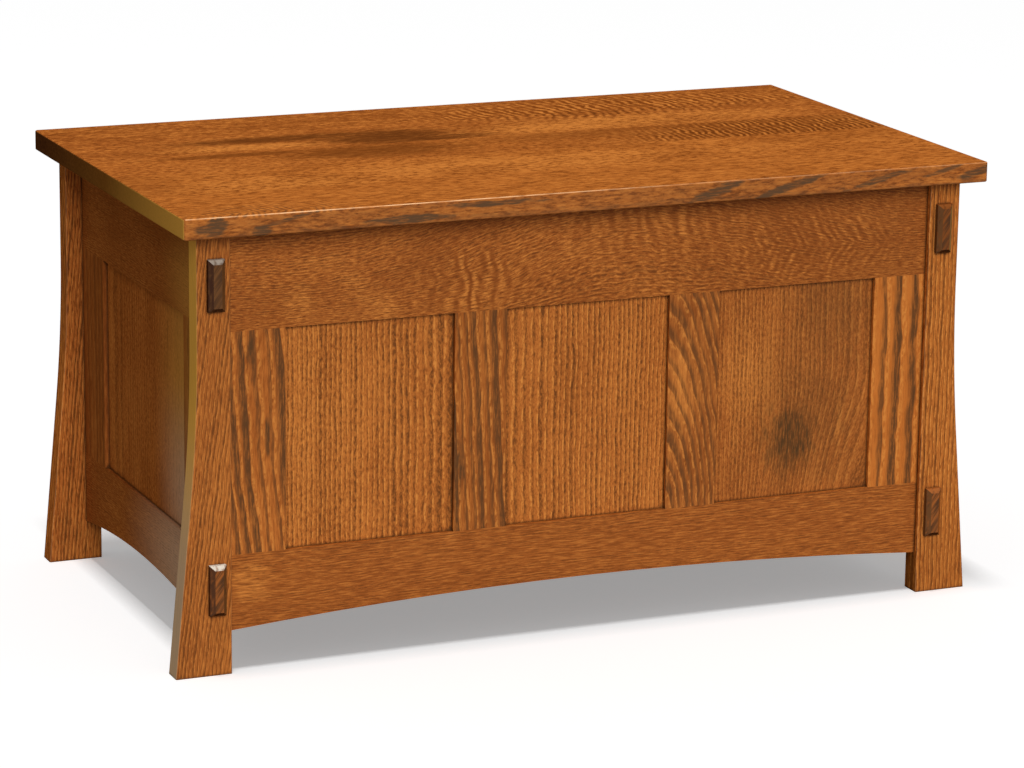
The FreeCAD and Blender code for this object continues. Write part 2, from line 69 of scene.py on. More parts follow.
# Colours of the stained oak, in linear light
LID = (0.435, 0.127, 0.021)
RAIL = (0.340, 0.094, 0.016)
PANEL = (0.46, 0.136, 0.024)
STILE = (0.42, 0.120, 0.021)
POST = (0.39, 0.116, 0.021)
SIDE = (0.315, 0.086, 0.0155)
GOLD = (0.60, 0.205, 0.038)
BEAD = (0.72, 0.27, 0.052)
# Painted sheen on the left wall toward its front
OLIVE_SHEEN = (0.62, 0.285, 0.052)
TAN_SHEEN = (0.67, 0.44, 0.27)
RED_BROWN = (0.19, 0.047, 0.007)
RING_BROWN = (0.140, 0.044, 0.009)
DARK_STREAK = (0.100, 0.041, 0.013)
GREY_BROWN = (0.105, 0.050, 0.021)
SWIRL_BROWN = (0.15, 0.039, 0.006)
DARK_SWIRL = (0.125, 0.034, 0.006)
BURNT = (0.075, 0.034, 0.010)
PORE_BROWN = (0.110, 0.031, 0.007)
# Painted shade in inner corners, where glaze also pools
CORNER_SHADE = (0.055, 0.022, 0.007)
# Painted highlight along the rounded edges, patchy like wear
ARRIS_HIGHLIGHT = (0.80, 0.46, 0.23)
# Painted light and shade on the lid's left end, lit in front and dark at the back
LID_END_LIT_FRONT = (0.60, 0.31, 0.050)
LID_END_MIDDLE = (0.13, 0.052, 0.008)
LID_END_SHADED_BACK = (0.028, 0.010, 0.004)
LID_END_RIGHT = (0.20, 0.062, 0.013)
# Painted light on the left front post's outer side, olive above and a tan sheen below
FLANK_LIGHT_ABOVE = (0.78, 0.40, 0.064)
FLANK_SHEEN_BELOW = (0.52, 0.36, 0.21)

# Colours of the other materials, in linear light
WALNUT = (0.140, 0.056, 0.017)
WARM_WALNUT = (0.215, 0.060, 0.010)
RED_WALNUT = (0.295, 0.088, 0.018)
WALNUT_GRAIN = (0.065, 0.026, 0.009)
# Painted shade on the plugs' lower and left bevels
WALNUT_SHADE = (0.045, 0.014, 0.005)
RED_SHADE = (0.075, 0.026, 0.009)
# Painted highlights on the plugs' bevels
BEVEL_HIGHLIGHT = (0.62, 0.55, 0.45)
FAINT_BEVEL_HIGHLIGHT = (0.38, 0.32, 0.26)
SIDE_BEVEL_HIGHLIGHT = (0.30, 0.16, 0.045)
CEDAR_PALE = (0.52, 0.24, 0.11)
CEDAR_RED = (0.33, 0.105, 0.045)
CEDAR_KNOT = (0.10, 0.030, 0.014)
CEDAR_FIBRE = (0.22, 0.075, 0.032)
HINGE_BRASS = (0.60, 0.43, 0.18)
HINGE_TARNISH = (0.33, 0.21, 0.085)
STAY_BRASS = (0.62, 0.45, 0.20)
STAY_TARNISH = (0.36, 0.24, 0.10)
SCREW_BRASS = (0.55, 0.40, 0.18)
SCREW_TARNISH = (0.28, 0.18, 0.075)
RUBBER_DARK = (0.018, 0.015, 0.013)
RUBBER_PALE = (0.045, 0.038, 0.032)

# Surfaces
OAK_GLOSS = 0.08  # specular level seen square on, which the satin finish loses at a glancing view
WALNUT_GLOSS = 0.10
CEDAR_GLOSS = 0.15
CORNER_SHADE_REACH = 7 * MM  # how far the painted shade of an inner corner, where glaze also pools, comes out of it
OAK_RELIEF = 0.12 * MM  # depth of the grain
WALNUT_RELIEF = 0.08 * MM
CEDAR_RELIEF = 0.1 * MM
BRASS_RELIEF = 0.03 * MM
RUBBER_RELIEF = 0.05 * MM
CEDAR_BOARDS = 8
CEDAR_SHIFT = 3.7  # how far the wood's pattern moves from one cedar board to the next


# Node trees

class Graph:
    """Short calls that add nodes to a tree and give back their outputs."""

    def __init__(self, tree):
        self.tree = tree

    def feed(self, socket, value):
        """Links an output to a socket, or sets the socket's value."""
        if isinstance(value, bpy.types.NodeSocket):
            self.tree.links.new(value, socket)
        elif socket.type == "RGBA" and len(value) == 3:
            socket.default_value = (*value, 1.0)
        else:
            socket.default_value = value

    def add(self, kind, output=0, inputs=(), **settings):
        """A node's output. Inputs are pairs of a socket's name or number and its value."""
        node = self.tree.nodes.new("ShaderNode" + kind)
        for name, value in settings.items():
            setattr(node, name, value)
        for key, value in inputs:
            self.feed(node.inputs[key], value)
        return node.outputs[output]

    def coordinates(self):
        """The outputs of a texture coordinate node."""
        return self.tree.nodes.new("ShaderNodeTexCoord").outputs

    def math(self, operation, *values, clamp=False):
        return self.add("Math", inputs=enumerate(values), operation=operation, use_clamp=clamp)

    def vector(self, operation, *values):
        return self.add("VectorMath", inputs=enumerate(values), operation=operation)

    def scaled(self, vector, factor):
        return self.add("VectorMath", inputs=((0, vector), ("Scale", factor)), operation="SCALE")

    def length(self, vector):
        return self.add("VectorMath", output=1, inputs=((0, vector),), operation="LENGTH")

    def combine(self, x, y, z):
        return self.add("CombineXYZ", inputs=enumerate((x, y, z)))

    def separate(self, vector):
        node = self.tree.nodes.new("ShaderNodeSeparateXYZ")
        self.feed(node.inputs[0], vector)
        return node.outputs

    def noise(self, vector, stretch, detail=2.0, roughness=0.55, distortion=0.0):
        """Noise from 0 to 1 with so many features to a metre on each axis."""
        place = self.vector("MULTIPLY", vector, stretch)
        return self.add("TexNoise", inputs=(("Vector", place), ("Scale", 1.0), ("Detail", detail),
                                            ("Roughness", roughness), ("Distortion", distortion)))

    def ramp(self, value, low, high, to_low=0.0, to_high=1.0, smooth=True):
        """A value's range mapped to another, and clamped."""
        style = "SMOOTHSTEP" if smooth else "LINEAR"
        return self.add("MapRange", inputs=enumerate((value, low, high, to_low, to_high)),
                        interpolation_type=style)

    def wave(self, vector, stretch, reach, detail=1.0):
        """Noise about 0 that goes as far as its reach to either side."""
        noise = self.noise(vector, stretch, detail)
        return self.math("MULTIPLY", self.ramp(noise, 0.25, 0.75, -1.0, 1.0, smooth=False), reach)

    def mix(self, factor, first, second):
        """A mix of two colours."""
        return self.add("Mix", output=2, inputs=((0, factor), (6, first), (7, second)), data_type="RGBA")


def new_group(name, sockets, results):
    """An empty group with float, vector and colour inputs, and its outputs."""
    tree = bpy.data.node_groups.new(name, "ShaderNodeTree")
    for label, kind, value in sockets:
        socket = tree.interface.new_socket(label, in_out="INPUT", socket_type="NodeSocket" + kind)
        socket.default_value = value if kind != "Color" else (*value, 1.0)
    for label, kind in results:
        tree.interface.new_socket(label, in_out="OUTPUT", socket_type="NodeSocket" + kind)
    return tree


# The oak group's sockets, with lengths in metres. The values are only fallbacks.
OAK_INPUTS = (
    ("Place", "Vector", (0, 0, 0)),  # along the grain, across the board, through the board
    ("End", "Float", 0.0),  # 1 on end grain
    ("Arris", "Float", 0.0),  # 1 on a rounded edge
    ("Corner Shade", "Float", 0.0),  # 1 in an inner corner
    ("Bend", "Float", 0.0),  # pushes the grain across
    ("Darker", "Float", 0.0), ("Paler", "Float", 0.0),  # the board's own marks, and on some boards painted shade and sheen
    ("Seed", "Float", 0.0),
    ("Pith Across", "Float", 0.2), ("Pith Deep", "Float", 0.2),
    ("Lean Across", "Float", 0.0), ("Lean Deep", "Float", 0.0),
    ("Ring", "Float", 0.004), ("Waver", "Float", 0.003), ("Early", "Float", 0.45),
    ("Streak", "Float", 0.5), ("Broken", "Float", 0.5), ("Beads", "Float", 0.0),
    ("Grain Long", "Float", 0.014), ("Grain Wide", "Float", 0.002), ("Curl", "Float", 0.001),
    ("Fibre", "Float", 0.5), ("Pores", "Float", 0.4), ("Fleck", "Float", 0.0), ("Tone", "Float", 0.3),
    # how much painted highlight the rounded edges get
    ("Rub", "Float", 0.15),
    ("Light", "Color", LID), ("Dark", "Color", RING_BROWN), ("Gold", "Color", GOLD),
    ("Mark", "Color", RED_BROWN), ("Ends", "Color", DARK_STREAK),
)
OAK_RESULTS = (("Colour", "Color"), ("Roughness", "Float"), ("Height", "Float"))

# The inputs that a board's figure gives in mm
OAK_LENGTHS = ("pith_across", "pith_deep", "ring", "waver", "grain_long", "grain_wide", "curl")


def oak_group():
    """Sawn oak as a solid: growth rings round a leaning pith, pores in early wood, fibres and ray fleck."""
    tree = new_group("oak", OAK_INPUTS, OAK_RESULTS)
    g = Graph(tree)
    given = tree.nodes.new("NodeGroupInput").outputs
    result = tree.nodes.new("NodeGroupOutput").inputs

    # The grain's own waves push everything across
    shift = g.scaled(g.combine(7.31, 3.17, 5.71), given["Seed"])
    start = g.vector("ADD", given["Place"], shift)
    along, across, deep = g.separate(given["Place"])
    sway = g.wave(start, (2.6, 7, 7), given["Waver"])
    curl = g.wave(start, (26, 30, 30), given["Curl"])
    across = g.math("ADD", g.math("ADD", across, given["Bend"]), g.math("ADD", sway, curl))
    place = g.vector("ADD", g.combine(along, across, deep), shift)

    # Growth rings: dark early wood that starts sharply and fades into late wood
    centre_across = g.math("MULTIPLY_ADD", along, given["Lean Across"], given["Pith Across"])
    centre_deep = g.math("MULTIPLY_ADD", along, given["Lean Deep"], given["Pith Deep"])
    off_across = g.math("SUBTRACT", across, centre_across)
    off_deep = g.math("SUBTRACT", deep, centre_deep)
    off_pith = g.combine(off_across, off_deep, 0.0)
    wobble = g.wave(place, (16, 60, 60), g.math("MULTIPLY", given["Ring"], 0.16), detail=2.0)
    turn = g.math("DIVIDE", g.math("ADD", g.length(off_pith), wobble), given["Ring"])
    within = g.math("FRACT", turn)
    number = g.math("ADD", g.math("FLOOR", turn), given["Seed"])
    chance = g.add("TexWhiteNoise", output="Value", inputs=(("W", number),), noise_dimensions="1D")
    share = g.math("MULTIPLY", given["Early"], g.ramp(chance, 0, 1, 0.5, 1.5, smooth=False))
    fall = g.ramp(within, g.math("MULTIPLY", share, 0.35), share, 1.0, 0.0)
    early = g.math("MAXIMUM", fall, g.ramp(within, 0.92, 1.0))
    early = g.math("MULTIPLY", early, g.ramp(chance, 0, 1, 0.6, 1.0, smooth=False))
    late = g.math("MULTIPLY", g.ramp(within, 0.60, 0.80), g.ramp(within, 0.96, 0.88))
    beads = g.math("MULTIPLY", late, g.ramp(g.noise(place, (130, 300, 300), detail=2.0), 0.42, 0.58))
    beads = g.math("MULTIPLY", beads, given["Beads"])

    # Fibres, and the pores as dashes along them
    size = g.combine(given["Grain Long"], given["Grain Wide"], given["Grain Wide"])
    fibre = g.noise(g.vector("DIVIDE", place, size), (1, 1, 1), detail=4.0, roughness=0.68)
    dash = g.ramp(g.noise(place, (150, 380, 380), detail=2.5), 0.42, 0.57)
    speck = g.ramp(g.noise(place, (150, 1900, 1900), detail=1.0), 0.54, 0.66)
    whole = g.math("SUBTRACT", 1.0, given["Broken"])
    broken = g.math("MULTIPLY_ADD", dash, given["Broken"], whole)
    ragged = g.math("MULTIPLY", broken, g.ramp(fibre, 0.36, 0.56, 0.45, 1.0))
    streaks = g.math("MULTIPLY", g.math("MULTIPLY", early, ragged), given["Streak"])
    holes = g.math("MAXIMUM", g.math("MULTIPLY", dash, early), g.math("MULTIPLY", speck, 0.6))
    holes = g.math("MULTIPLY", holes, given["Pores"])

    # Slow changes of tone, and ray fleck in patches
    cloud = g.wave(place, (8, 22, 22), given["Tone"], detail=4.0)
    ray = g.ramp(g.noise(place, (60, 26, 50), detail=2.0, distortion=0.4), 0.50, 0.66)
    patch = g.ramp(g.noise(place, (6, 12, 12), detail=1.0), 0.42, 0.62)
    fleck = g.math("MULTIPLY", g.math("MULTIPLY", ray, patch), given["Fleck"])

    # The pale and dark tones, and then each colour over the ones before it
    dark_fibre = g.math("MULTIPLY", g.ramp(fibre, 0.48, 0.64), given["Fibre"])
    pale_fibre = g.math("MULTIPLY", g.ramp(fibre, 0.50, 0.36), g.math("MULTIPLY", given["Fibre"], 0.75))
    pale = g.math("ADD", g.math("ADD", pale_fibre, cloud), g.math("ADD", fleck, given["Paler"]))
    dark = g.math("SUBTRACT", dark_fibre, g.math("ADD", cloud, g.math("MULTIPLY", fleck, 0.5)))
    colour = g.mix(g.math("MULTIPLY", pale, 1.0, clamp=True), given["Light"], given["Gold"])
    colour = g.mix(g.math("MULTIPLY", dark, 1.0, clamp=True), colour, RED_BROWN)
    colour = g.mix(beads, colour, BEAD)
    colour = g.mix(g.math("MULTIPLY", streaks, 1.0, clamp=True), colour, given["Dark"])
    colour = g.mix(g.math("MULTIPLY", given["Darker"], 1.0, clamp=True), colour, given["Mark"])
    colour = g.mix(g.math("MULTIPLY", holes, 0.7, clamp=True), colour, PORE_BROWN)
    colour = g.mix(g.math("MULTIPLY", given["End"], 0.85), colour, given["Ends"])
    # Painted shade in inner corners, where glaze also pools
    colour = g.mix(g.math("MULTIPLY", given["Corner Shade"], 0.8), colour, CORNER_SHADE)
    # Painted highlight along the rounded edges, patchy like wear
    edge_highlight = g.ramp(g.noise(place, (40, 200, 200), detail=2.0), 0.30, 0.55, 0.35, 1.0)
    edge_highlight = g.math("MULTIPLY", g.math("MULTIPLY", given["Arris"], given["Rub"]), edge_highlight)
    g.feed(result["Colour"], g.mix(edge_highlight, colour, ARRIS_HIGHLIGHT))

    # The finish lies thin over the pores and smooth over the fleck
    roughness = g.math("MULTIPLY_ADD", holes, 0.22, 0.44)
    roughness = g.math("MULTIPLY_ADD", fleck, -0.08, roughness)
    g.feed(result["Roughness"], g.math("MULTIPLY_ADD", given["End"], 0.1, roughness))
    height = g.math("ADD", g.math("MULTIPLY", holes, -1.0), g.math("MULTIPLY", streaks, -0.35))
    g.feed(result["Height"], g.math("MULTIPLY_ADD", fibre, -0.5, height))
    return tree


OAK = oak_group()


def new_material(name):
    """A material with its graph and its shader."""
    material = bpy.data.materials.new(name)
    material.use_nodes = True
    tree = material.node_tree
    return material, Graph(tree), tree.nodes["Principled BSDF"]


def bump(g, shader, height, depth, strength):
    """Feeds a height from 0 to 1 to a shader's normal, so many metres deep."""
    normal = g.add("Bump", inputs=(("Strength", strength), ("Distance", depth), ("Height", height)))
    g.feed(shader.inputs["Normal"], normal)


def satin(g, shader, level):
    """A specular level that fades at glancing views, as on an oiled and rubbed finish."""
    facing = g.add("LayerWeight", output="Facing", inputs=(("Blend", 0.5),))
    g.feed(shader.inputs["Specular IOR Level"], g.ramp(facing, 0.22, 0.55, level, 0.0))


def dress(node, material):
    """Gives a carried-over node its material."""
    slots = frame["nodes"][node].data.materials
    slots.clear()
    slots.append(material)


# Where things are on a board. Places and reaches are in mm from its middle: along, across and through it.

def board_place(g, node, grain):
    """A node's place from its middle, and its normal, both in the grain's order of axes."""
    low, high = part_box(node)
    coordinates = g.coordinates()
    place = g.vector("SUBTRACT", coordinates["Object"], tuple((low + high) / 2))
    axes = dict(zip("xyz", g.separate(place)))
    normal = dict(zip("xyz", g.separate(coordinates["Normal"])))
    return g.combine(*(axes[axis] for axis in grain)), [normal[axis] for axis in grain]


def arrises(g, normal):
    """1 on the rounded edges that run with the grain, where the normal lies between the other two axes."""
    slope = g.math("ABSOLUTE", g.math("MULTIPLY", normal[1], normal[2]))
    return g.ramp(slope, 0.32, 0.47)


def near(g, place, centre, reach, lean=0.0, lean_deep=0.0, *, core, fray=None):
    """1 round a spot and 0 beyond its reach. The outline may be frayed, and lean along the board.

    The core is the share of the reach that has the full strength.
    """
    off = g.vector("SUBTRACT", place, tuple(value * MM for value in centre))
    if lean or lean_deep:
        along, across, deep = g.separate(off)
        slip = g.math("MULTIPLY_ADD", across, lean, g.math("MULTIPLY", deep, lean_deep))
        off = g.combine(g.math("SUBTRACT", along, slip), across, deep)
    distance = g.length(g.vector("DIVIDE", off, tuple(value * MM for value in reach)))
    if fray is not None:
        distance = g.math("ADD", distance, fray)
    return g.ramp(distance, core, 1.0, 1.0, 0.0)


def spots(g, place, marks, core, wash):
    """The strongest of several marks: each a strength, a centre, a reach and perhaps its lean.

    A mark has a frayed outline and grain in it, but a wash is smooth.
    """
    fray = None if wash else g.wave(place, (50, 160, 160), 0.28, detail=3.0)
    strongest = 0.0
    for strength, *spot in marks:
        mask = g.math("MULTIPLY", near(g, place, *spot, fray=fray, core=core), strength)
        strongest = g.math("MAXIMUM", strongest, mask)
    if wash:
        return strongest
    lines = g.ramp(g.noise(place, (55, 520, 520), detail=3.0), 0.36, 0.60, 0.65, 1.15)
    return g.math("MULTIPLY", strongest, lines)


def ripple(g, place, centre, reach, pitch, bend, strength):
    """Bands across the grain round a spot, from -1 to 1, which bend at its middle line like chevrons."""
    along, across, _ = g.separate(place)
    from_middle = g.math("ABSOLUTE", g.math("SUBTRACT", across, centre[1] * MM))
    wobble = g.wave(place, (24, 32, 32), pitch * MM * 0.55, detail=2.0)
    phase = g.math("ADD", g.math("MULTIPLY_ADD", from_middle, bend, along), wobble)
    band = g.math("SINE", g.math("MULTIPLY", phase, 2 * math.pi / (pitch * MM)))
    patch = g.ramp(g.noise(place, (45, 60, 60), detail=1.5), 0.36, 0.60, 0.15, 1.0)
    shown = g.math("MULTIPLY", near(g, place, centre, reach, core=0.3), patch)
    return g.math("MULTIPLY", band, g.math("MULTIPLY", shown, strength))


def lid_end_light_and_shade(g):
    """Tone of the lid's ends. The left one has painted light and shade: olive in front, brown in the middle
    and dark at the back.
    """
    x, y, _ = g.separate(g.coordinates()["Object"])
    left = g.mix(g.ramp(y, -0.30, 0.0, smooth=False), LID_END_LIT_FRONT, LID_END_MIDDLE)
    left = g.mix(g.ramp(y, 0.0, 0.26, smooth=False), left, LID_END_SHADED_BACK)
    return g.mix(g.ramp(x, -0.1, 0.1), left, LID_END_RIGHT)


def post_flank_light(g):
    """Tone of the left front post's outer side, with painted light: olive above and a tan sheen toward the
    foot, with dark ends.
    """
    coordinates = g.coordinates()
    z = g.separate(coordinates["Object"])[2]
    flank = g.mix(g.ramp(z, 0.10, 0.34), FLANK_SHEEN_BELOW, FLANK_LIGHT_ABOVE)
    upright = g.math("ABSOLUTE", g.separate(coordinates["Normal"])[2])
    return g.mix(g.ramp(upright, 0.5, 0.8), flank, DARK_STREAK)


def side_sheen(g):
    """Painted sheen on the left wall toward the front: olive above and tan below."""
    z = g.separate(g.coordinates()["Object"])[2]
    return g.mix(g.ramp(z, 0.16, 0.34), TAN_SHEEN, OLIVE_SHEEN)


def oak(node, grain, smudges=(), glints=(), ripples=(), bent=None, flank=0, core=0.1, wash=False,
        rubbed_left=False, **figure):
    """Stained oak on one board, whose grain gives the order of its axes: along, across and through it.

    Smudges are its dark marks and glints its pale ones. The figure names the group's inputs in small
    letters, and a colour in it may be a function that builds one.
    """
    # On some boards the smudges carry painted shade and sheen rather than marks
    material, g, shader = new_material("oak_" + node)
    place, normal = board_place(g, node, grain)
    wood = g.tree.nodes.new("ShaderNodeGroup")
    wood.node_tree = OAK
    for name, value in figure.items():
        if name in OAK_LENGTHS:
            value *= MM
        elif callable(value):
            value = value(g)
        g.feed(wood.inputs[name.replace("_", " ").title()], value)
    end = g.ramp(g.math("ABSOLUTE", normal[0]), 0.75, 0.95)
    if flank:
        end = g.math("MAXIMUM", end, g.ramp(g.math("MULTIPLY", normal[1], flank), 0.75, 0.95))
    # Ambient occlusion finds the inner corners, which get painted shade
    open_space = g.add("AmbientOcclusion", output="AO", inputs=(("Distance", CORNER_SHADE_REACH),), samples=8)
    arris = arrises(g, normal)
    # On the lid's front board the painted highlight lies on the upper arris only and fades to the right
    if rubbed_left:
        upper = g.ramp(normal[2], 0.0, 0.3)
        edge_highlight = g.ramp(g.separate(place)[0], -0.25, 0.20, 1.0, 0.25)
        arris = g.math("MULTIPLY", arris, g.math("MULTIPLY", edge_highlight, upper))
    g.feed(wood.inputs["Place"], place)
    g.feed(wood.inputs["End"], end)
    g.feed(wood.inputs["Arris"], arris)
    g.feed(wood.inputs["Corner Shade"], g.ramp(open_space, 0.45, 0.80, 1.0, 0.0))
    if bent:
        push, *spot = bent
        g.feed(wood.inputs["Bend"], g.math("MULTIPLY", near(g, place, *spot, core=0.0), push * MM))
    darker = spots(g, place, smudges, core, wash) if smudges else 0.0
    paler = spots(g, place, glints, core, wash) if glints else 0.0
    for band in ripples:
        waves = ripple(g, place, *band)
        darker = g.math("ADD", darker, waves)
        paler = g.math("MULTIPLY_ADD", waves, -0.8, paler)
    g.feed(wood.inputs["Darker"], darker)
    g.feed(wood.inputs["Paler"], paler)
    g.feed(shader.inputs["Base Color"], wood.outputs["Colour"])
    g.feed(shader.inputs["Roughness"], wood.outputs["Roughness"])
    satin(g, shader, OAK_GLOSS)
    bump(g, shader, wood.outputs["Height"], OAK_RELIEF, 0.6)
    dress(node, material)


# The figure of each kind of board

RIFT = dict(
    pith_across=150, pith_deep=130, ring=5.2, waver=2.0, early=0.50, streak=1.0, broken=0.60, beads=0.75,
    grain_long=5, grain_wide=2.2, fibre=0.60, curl=0.7, tone=0.26, light=PANEL)
LEVEL = dict(
    pith_across=420, pith_deep=40, ring=3.0, waver=8, early=0.5, streak=0.55, broken=0.9, beads=0.2,
    grain_long=10, grain_wide=1.5, fibre=1.0, curl=1.3, tone=0.20, fleck=0.25, light=RAIL)
PLAIN = dict(
    pith_across=90, pith_deep=60, ring=12, waver=5, early=0.5, streak=1.0, broken=0.05, beads=0.5,
    grain_long=22, grain_wide=2.2, fibre=0.60, pores=0.3, curl=0.9, tone=0.22, light=STILE,
    dark=DARK_STREAK)
SMOOTH = dict(
    pith_across=500, pith_deep=60, ring=5.0, waver=3, early=0.5, streak=0.20, broken=0.9, beads=0.15,
    grain_long=10, grain_wide=4.0, fibre=0.95, pores=0.35, curl=1.2, tone=0.24, light=LID, ends=lid_end_light_and_shade)
UPRIGHT = dict(
    RIFT, pith_across=240, ring=4.0, streak=0.95, broken=0.35, beads=0.4, grain_long=18, grain_wide=1.8,
    fibre=0.65, light=POST)
SIDE_WALL = dict(light=SIDE, streak=0.4, beads=0.15, fibre=0.5, fleck=0.0)

# From one board's seed to the next one's
WALL_SEED_STEP = 1.37
POST_SEED_STEP = 2.1

# The boards that the photograph shows, each with its own figure and marks, in mm:
#   smudges and glints: strength, centre and reach, and perhaps how far the mark leans along the board for
#     each mm across it and for each mm through it
#   ripples: centre, reach, pitch, bend and strength, where bands with a bend of 0 go straight across
#   bent: how far the grain is pushed across, and the centre and reach of that push
# The marks on the lid's front edge lie 65 mm in front of the middle of the first board.
OWN = {
    "front_top_rail": dict(
        seed=3.1,
        glints=((1.0, (-374, -30, 0), (34, 36, 20)), (0.8, (-300, -14, 0), (30, 44, 20), -0.8),
                (0.9, (-268, -46, 0), (30, 32, 20)), (0.7, (-345, 18, 0), (56, 16, 20))),
        bent=(-70, (60, 60, 0), (420, 220, 90)),
        smudges=((0.35, (330, 0, 0), (320, 140, 40)), (0.3, (-215, 20, 0), (60, 60, 40))),
        ripples=(((-152, -24, 0), (80, 55, 40), 16, 0.12, 0.9),
                 ((70, 60, 0), (190, 110, 40), 17, -0.25, 0.4),
                 ((300, -10, 0), (170, 70, 40), 12, 0.6, 0.35))),
    "front_bottom_rail": dict(
        seed=4.7, fleck=0.0, curl=0.5, waver=3, grain_long=22, grain_wide=1.8, fibre=0.75, tone=0.10,
        beads=0.0, glints=((1.0, (-440, 12, 0), (52, 44, 20)),),
        smudges=((0.2, (-150, -30, 0), (330, 40, 20)),)),
    "front_stile_left": dict(
        seed=5.2, lean_across=-0.09, ring=11, early=0.55, waver=8, mark=DARK_STREAK, core=0.45,
        smudges=((1.0, (112, -8, 0), (50, 10, 20), -0.1), (0.9, (20, -14, 0), (46, 7, 20), -0.1),
                 (0.9, (5, 13, 0), (44, 5, 20), -0.1))),
    "front_mullion_left": dict(
        seed=6.9, ring=9.0, pith_across=80, early=0.60, lean_across=-0.05, waver=8, mark=DARK_STREAK,
        light=(0.34, 0.096, 0.017), core=0.45, smudges=((0.9, (-60, -27, 0), (60, 9, 20), -0.1),)),
    "front_mullion_right": dict(
        seed=7.7, ring=6.5, pith_across=-40, pith_deep=37, lean_deep=0.20, waver=8, curl=1.6, tone=0.4,
        light=(0.345, 0.101, 0.019), early=0.50, streak=0.85, glints=((0.7, (30, -16, 0), (120, 16, 20)),),
        smudges=((0.4, (0, 22, 0), (260, 26, 20)),)),
    "front_stile_right": dict(
        seed=8.3, ring=16, early=0.40, waver=5, fibre=0.35, beads=0.55, light=(0.52, 0.150, 0.024)),
    "front_panel_left": dict(seed=9.1, glints=((0.4, (0, -70, 0), (260, 110, 40)),)),
    "front_panel_center": dict(seed=10.4, pith_across=-150, early=0.46),
    "front_panel_right": dict(
        seed=11.9, ring=4.6, streak=0.65, beads=0.4, light=(0.38, 0.110, 0.020), mark=BURNT,
        bent=(46, (-165, 95, 0), (190, 190, 90)),
        glints=((0.9, (-47, 67, 0), (50, 6, 20), 2.0), (0.6, (20, -60, 0), (110, 60, 20))),
        smudges=((0.9, (-62, -2, 0), (74, 58, 40)), (0.35, (-30, 20, 0), (150, 110, 40)),
                 (0.35, (110, 50, 0), (160, 100, 40)))),
    "post_front_left": dict(seed=40, lean_across=0.14, flank=-1, ends=post_flank_light),
    "post_front_right": dict(
        seed=44, light=(0.48, 0.142, 0.023), lean_across=0.0, ring=5.0, broken=0.15, beads=0.8, fibre=0.8,
        # Its smudge makes it darker toward the foot
        tone=0.3, smudges=((0.3, (-260, 0, 0), (200, 90, 40)),), wash=True),
    "post_back_left": dict(light=(0.50, 0.138, 0.024), fibre=0.95, tone=0.35, broken=0.1, beads=0.6),
    # The left wall's smudges carry painted sheen toward its front, olive above and tan below
    "left_top_rail": dict(smudges=((0.9, (-260, -20, 0), (210, 110, 40)),), mark=side_sheen, wash=True),
    "left_panel": dict(
        light=(0.40, 0.107, 0.018), mark=side_sheen, wash=True, fibre=0.7, tone=0.32,
        smudges=((0.9, (0, -200, 0), (420, 185, 40)),)),
    "left_stile_front": dict(smudges=((0.8, (0, -40, 0), (400, 120, 40)),), mark=side_sheen, wash=True),
    "left_bottom_rail": dict(smudges=((1.0, (-280, 0, 0), (390, 160, 40)),), mark=side_sheen, wash=True),
    "lid_board_1": dict(
        # A strong painted highlight along the front arris, fading to the right
        seed=61.9, mark=GREY_BROWN, rub=0.95, rubbed_left=True, core=0.45, grain_long=14, grain_wide=3.0,
        tone=0.12, ripples=(((-420, -50, 12.7), (150, 60, 5), 9, 0.45, 0.6),),
        # The first two smudges are painted shade over the lower half of the lid's front edge; the rest are
        # its dark marks
        smudges=((0.25, (0, -65, 0), (900, 6, 24)), (0.45, (0, -65, -13), (900, 6, 11)),
                 (1.0, (-487, -65, 0), (18, 4, 20)), (1.0, (-503, -65, -2), (16, 4, 7)),
                 (1.0, (-431, -65, -7), (17, 4, 11)), (0.9, (-400, -65, 4), (15, 4, 12), 0, 4.8),
                 (1.0, (-245, -65, -6), (76, 4, 7)), (0.9, (-140, -65, 6), (90, 4, 5)),
                 (1.0, (150, -65, 0), (27, 4, 17), 0, 2.4), (1.0, (250, -65, 0), (27, 4, 17), 0, 3.5),
                 (0.9, (372, -65, 0), (21, 4, 16), 0, 4.0), (0.8, (460, -65, 5), (17, 4, 11), 0, 3.7),
                 (1.0, (506, -65, 0), (22, 4, 10), 0, 2.0))),
    "lid_board_2": dict(
        seed=63.8, tone=0.34,
        glints=((0.35, (-20, -10, 12), (420, 80, 40)), (0.55, (-350, -35, 12), (190, 70, 40))),
        smudges=((0.3, (-520, 0, 12), (110, 200, 40)), (0.3, (430, 20, 12), (190, 40, 40)))),
    "lid_board_3": dict(
        seed=65.7, light=(0.40, 0.113, 0.019), core=0.3, tone=0.34, mark=SWIRL_BROWN,
        ripples=(((370, -70, 12), (260, 190, 40), 9.5, -0.04, 1.0),),
        smudges=((0.8, (-170, 10, 12), (180, 55, 40)), (0.7, (-340, 39, 12), (150, 18, 40)),
                 (0.4, (150, 30, 12), (280, 45, 40)), (0.55, (370, 0, 12), (300, 120, 40)))),
    "lid_board_4": dict(
        seed=67.6, light=(0.36, 0.099, 0.017), core=0.3, tone=0.32, mark=DARK_SWIRL,
        smudges=((1.0, (-120, -18, 12), (125, 62, 40)), (0.9, (-250, 10, 12), (210, 30, 40)),
                 (0.9, (-75, -48, 12), (130, 34, 40))),
        glints=((0.7, (-330, -32, 12), (170, 26, 40)), (0.6, (190, -20, 12), (340, 60, 40))),
        ripples=(((250, 62, 12), (320, 62, 40), 13, 0.22, 0.9),)),
    "lid_board_5": dict(
        seed=69.5, light=(0.33, 0.090, 0.015),
        ripples=(((250, -55, 12), (380, 130, 40), 13, 0.22, 1.6),)),
}


def nodes_named(start):
    """The part's nodes whose names start so, sorted."""
    return sorted(name for name in frame["nodes"] if name.startswith(start))


